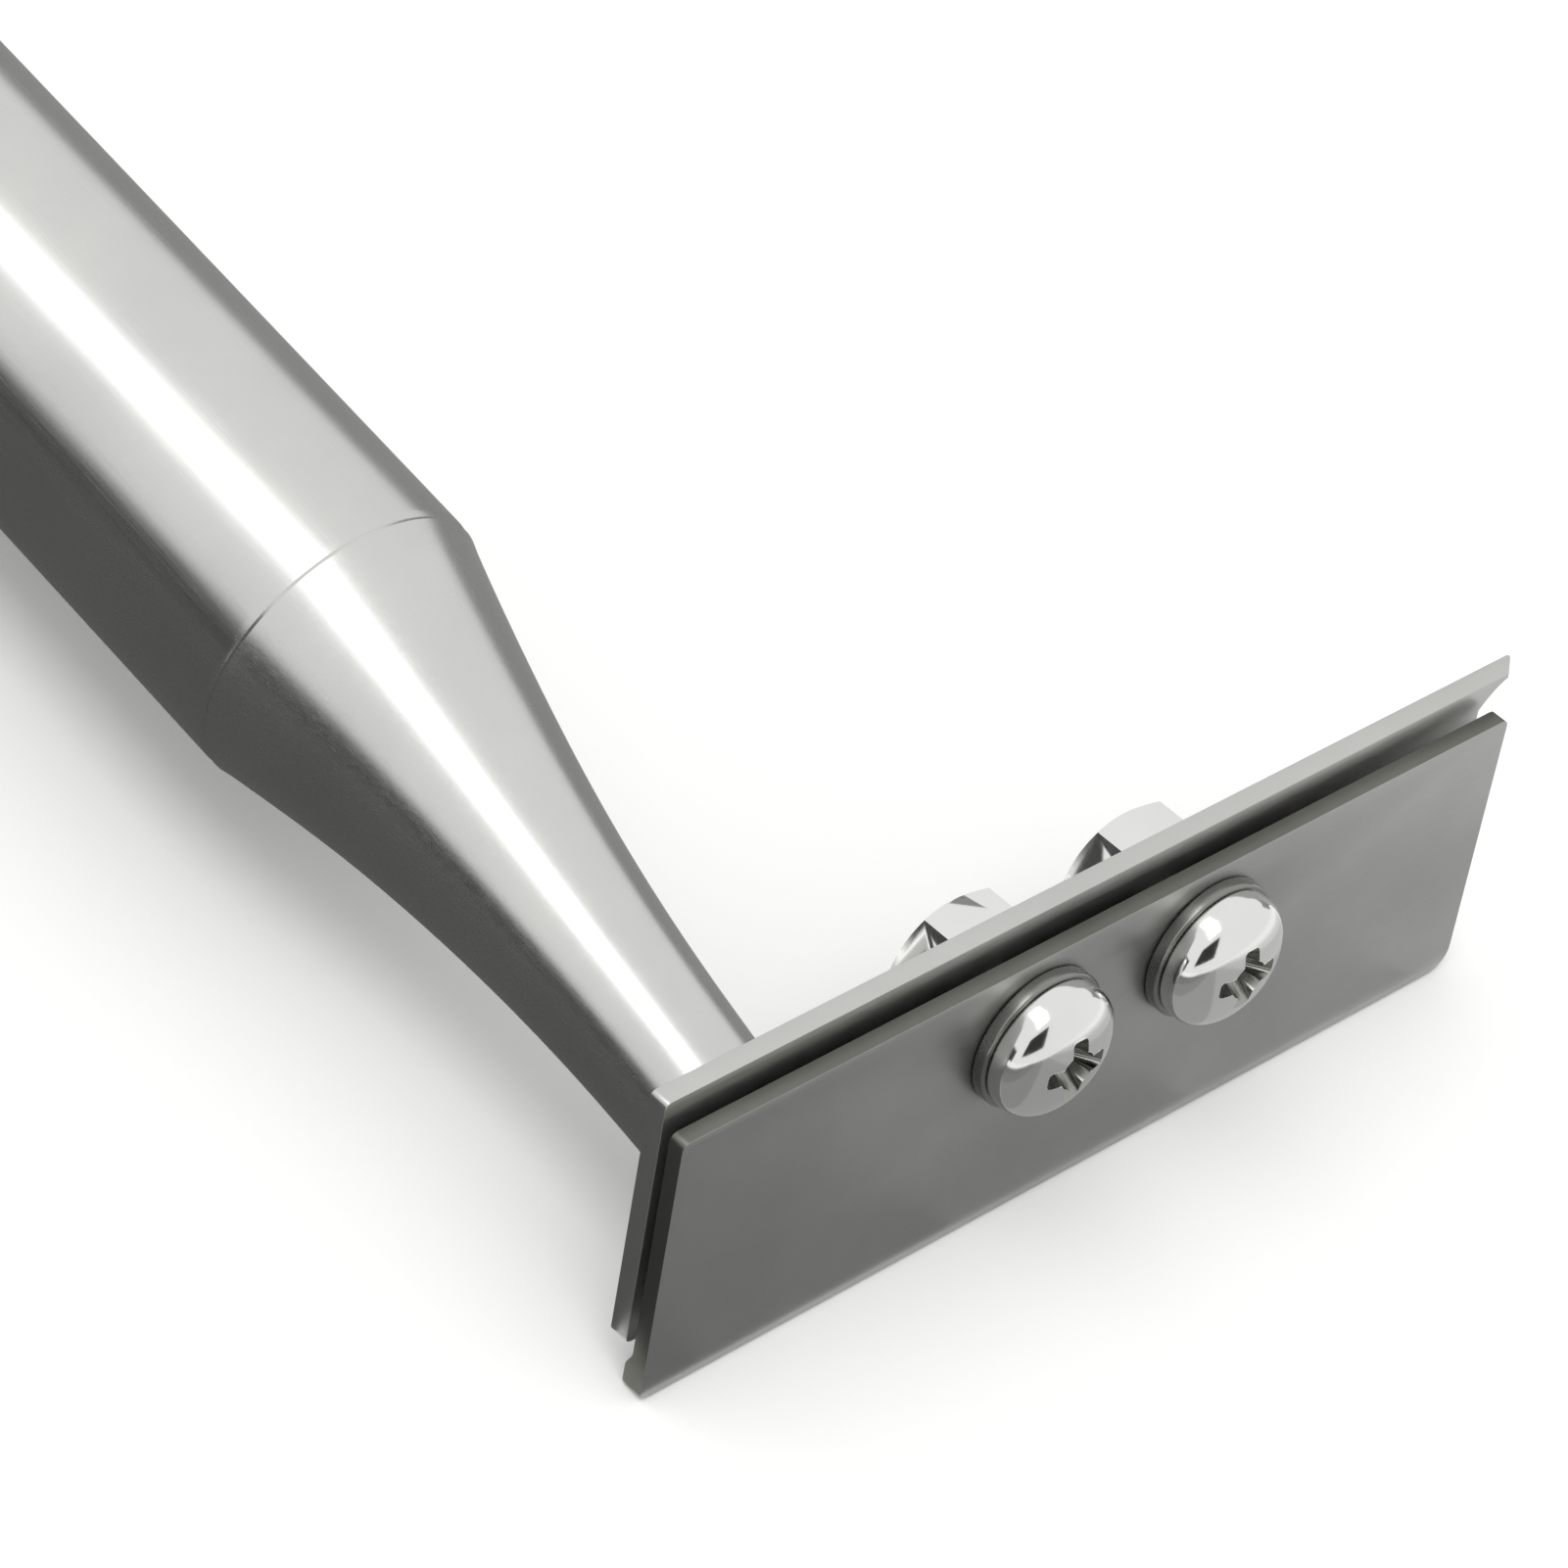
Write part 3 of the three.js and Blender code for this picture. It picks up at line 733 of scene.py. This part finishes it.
materials = {
    # Cold-rolled sheet, dull grey, with a satin grain along its length, drawn coarse enough to show
    "sheet_steel": steel("satin_stainless_sheet", dark="#a9a9a7", light="#b2b2af", rough=0.40,
                         rough_spread=0.05, grain_size=0.12, stretch=ALONG_SHEET, bump=0.25,
                         bump_depth=0.004),
    # Drawn and polished tube, with soft long reflections and faint lines along its length
    "tube_steel": steel("polished_stainless_tube", dark="#c9c9c7", light="#d0d0cd", rough=0.25,
                        rough_spread=0.03, grain_size=0.14, stretch=ALONG_TUBE, bump=0.12,
                        bump_depth=0.003),
    # Brushed weld bead, uneven and half dull
    "weld_steel": steel("brushed_weld_steel", dark="#a8a7a2", light="#bab9b4", rough=0.36,
                        rough_spread=0.08, grain_size=0.2, stretch=EVEN, bump=0.4, bump_depth=0.01),
    # Bright plating, almost a mirror, that keeps a trace of the turned surface
    "plated_steel": steel("bright_plated_steel", dark="#dcdcda", light="#e4e4e2", rough=0.11,
                          rough_spread=0.02, grain_size=0.3, stretch=EVEN, bump=0.05, bump_depth=0.002),
}
for slot, made in pieces.items():
    for piece in made:
        piece.data.materials.clear()
        piece.data.materials.append(materials[slot])

# Washers: painted shade, a darker tone that shows as a dark ring under each bright head
washer_shade_steel = steel("painted_shade_washer", dark="#83837f", light="#8f8f8b", rough=0.26, rough_spread=0.04,
                     grain_size=0.2, stretch=EVEN, bump=0.1, bump_depth=0.003)
# Each washer takes the painted shade
for side in SCREW_PLACES:
    bpy.data.objects["washer_disc_" + side].data.materials[0] = washer_shade_steel

# Walls of the cross recess: painted shade in a darker tone, and rougher, so the cross stands out from the
# bright head
recess_shade_steel = steel("painted_shade_recess", dark="#94948f", light="#a0a09b", rough=0.22, rough_spread=0.04,
                     grain_size=0.2, stretch=EVEN, bump=0.1, bump_depth=0.003)
for side, x in SCREW_PLACES.items():
    screw_mesh = bpy.data.objects["screw_body_" + side].data
    screw_mesh.materials.append(recess_shade_steel)
    to_screw = (HEAD @ at_screw(x)).inverted()
    # Faces inside the recess, below the dome, get the painted shade
    for face in screw_mesh.polygons:
        spot = to_screw @ face.center / MM
        share = min(math.hypot(spot.x, spot.z) / HEAD_RADIUS, 1)
        dome = HEAD_RIM + (HEAD_CROWN - HEAD_RIM) * math.sqrt(1 - share ** 2)
        if dome + RECESS_SKIN < spot.y < HEAD_RIM + TINY:
            face.material_index = 1

# Back plate: the same satin sheet in a lighter tone, painted light that stands in for the light on its top
# edge
lit_backing_steel = steel("painted_light_backing", dark="#bfbfbc", light="#c6c6c3", rough=0.34, rough_spread=0.05,
                grain_size=0.12, stretch=ALONG_SHEET, bump=0.25, bump_depth=0.004)
bpy.data.objects["back_sheet"].data.materials[0] = lit_backing_steel

# The clamp plate's sheared edges: rough, and darker than its rolled faces; the darker tone is painted shade,
# like the shade the back plate throws on the clamp's top edge
EDGE_LIMIT = 0.6
shaded_edge_steel = steel("painted_shade_sheared_edge", dark="#6c6c66", light="#787872", rough=0.42, rough_spread=0.05,
                     grain_size=0.1, stretch=EVEN, bump=0.3, bump_depth=0.006)
clamp_mesh = bpy.data.objects["clamp_sheet"].data
clamp_mesh.materials.append(shaded_edge_steel)
clamp_front = HEAD.to_3x3() @ Vector((0, -1, 0))
# Edge faces get the painted shade
for face in clamp_mesh.polygons:
    if abs(face.normal.dot(clamp_front)) < EDGE_LIMIT:
        face.material_index = 1

# Stage, in metres: a pale floor and a soft lamp overhead
FLOOR_SIZE = 6
FLOOR_ROUGHNESS = 0.9
LAMP_WIDTH = 0.35
LAMP_LENGTH = 1.2
LAMP_POWER = 2.4
LAMP_LEFT = 0.26
LAMP_HEIGHT = 0.85

# Grey cards for reflections, and the strips in front of the plates, lighter towards the right
CARD_LIFT = 0.0004
FLAT = (0, 0, 0)
UPRIGHT_SIDE = (0, math.radians(90), 0)
UPRIGHT_FRONT = (math.radians(90), 0, 0)
FRONT_CARDS = 9
FRONT_LEFT = -0.08
FRONT_WIDTH = 0.16
FRONT_MIDDLE = -0.218
FRONT_DEPTH = 0.204
FRONT_DARK = 0.20
FRONT_SPREAD = 0.75


def glow(name, grey):
    material = bpy.data.materials.new(name)
    material.use_nodes = True
    tree = material.node_tree
    tree.nodes.remove(tree.nodes["Principled BSDF"])
    light = node(tree, "Emission", Color=(grey, grey, grey, 1), Strength=1.0)
    tree.links.new(light.outputs[0], tree.nodes["Material Output"].inputs["Surface"])
    return material


def card(name, centre, size, turn, grey):
    """A card that only reflections see."""
    deselect()
    bpy.ops.mesh.primitive_plane_add(size=1, location=centre, rotation=turn)
    piece = named(name)
    piece.scale = (size[0], size[1], 1)
    piece.data.materials.append(glow(name + "_tone", grey))
    piece.visible_camera = False
    piece.visible_diffuse = False
    piece.visible_shadow = False
    piece.visible_transmission = False


deselect()
bpy.ops.mesh.primitive_plane_add(size=FLOOR_SIZE, location=(0, 0, 0))
floor = named("floor")
floor_material = bpy.data.materials.new("matt_white_floor")
floor_material.use_nodes = True
floor_shader = floor_material.node_tree.nodes["Principled BSDF"]
floor_shader.inputs["Base Color"].default_value = linear("#f8f8f6")
floor_shader.inputs["Roughness"].default_value = FLOOR_ROUGHNESS
floor_shader.inputs["Specular IOR Level"].default_value = 0.0
floor.data.materials.append(floor_material)

world = bpy.data.worlds.new("white_studio")
bpy.context.scene.world = world
world.use_nodes = True
world.node_tree.nodes["Background"].inputs["Color"].default_value = (1, 1, 1, 1)
world.node_tree.nodes["Background"].inputs["Strength"].default_value = 1.0

lamp_data = bpy.data.lights.new("overhead_soft_box", "AREA")
lamp_data.shape = "RECTANGLE"
lamp_data.size = LAMP_WIDTH
lamp_data.size_y = LAMP_LENGTH
lamp_data.energy = LAMP_POWER
lamp = bpy.data.objects.new("overhead_soft_box", lamp_data)
bpy.context.scene.collection.objects.link(lamp)
lamp.location = (-LAMP_LEFT, 0.0, LAMP_HEIGHT)
lamp.rotation_euler = (0, -math.atan2(LAMP_LEFT, LAMP_HEIGHT), 0)

card("left_low_card", centre=(-0.32, 0.25, 0.045), size=(0.12, 0.9), turn=UPRIGHT_SIDE, grey=0.06)
card("left_floor_card", centre=(-0.184, 0.242, CARD_LIFT), size=(0.302, 0.716), turn=FLAT, grey=0.12)
card("neck_floor_card", centre=(-0.019, 0.244, CARD_LIFT), size=(0.028, 0.712), turn=FLAT, grey=0.12)
card("right_floor_card", centre=(0.28, 0.25, CARD_LIFT), size=(0.60, 0.71), turn=FLAT, grey=0.33)
card("right_low_card", centre=(0.58, 0.25, 0.07), size=(0.16, 0.9), turn=UPRIGHT_SIDE, grey=0.30)
card("front_window_card", centre=(-0.32, -0.65, 0.34), size=(0.50, 0.42), turn=UPRIGHT_FRONT, grey=0.04)
strip = FRONT_WIDTH / FRONT_CARDS
for step in range(FRONT_CARDS):
    share = step / (FRONT_CARDS - 1)
    x = FRONT_LEFT + strip * (step + 0.5)
    card(f"front_floor_card_{step}", centre=(x, FRONT_MIDDLE, CARD_LIFT), size=(strip, FRONT_DEPTH),
         turn=FLAT, grey=FRONT_DARK + FRONT_SPREAD * share ** 2)

# Camera in front of the plates, to their left and above
CAMERA_PLACE = Vector((-0.2233, -0.2391, 0.2837))
CAMERA_RIGHT = Vector((0.7359, -0.6285, 0.2519)).normalized()
CAMERA_UP = Vector((0.3558, 0.6756, 0.6457))
CAMERA_LENS = 163.77
CAMERA_SENSOR = 36
CAMERA_NEAR = 0.01
camera_back = CAMERA_RIGHT.cross(CAMERA_UP).normalized()
camera_up = camera_back.cross(CAMERA_RIGHT)
camera_data = bpy.data.cameras.new("camera")
camera_data.lens = CAMERA_LENS
camera_data.sensor_width = CAMERA_SENSOR
camera_data.clip_start = CAMERA_NEAR
camera = bpy.data.objects.new("camera", camera_data)
bpy.context.scene.collection.objects.link(camera)
axes = Matrix((CAMERA_RIGHT, camera_up, camera_back)).transposed().to_4x4()
camera.matrix_world = Matrix.Translation(CAMERA_PLACE) @ axes
bpy.context.scene.camera = camera
bpy.context.scene.view_settings.view_transform = "Standard"
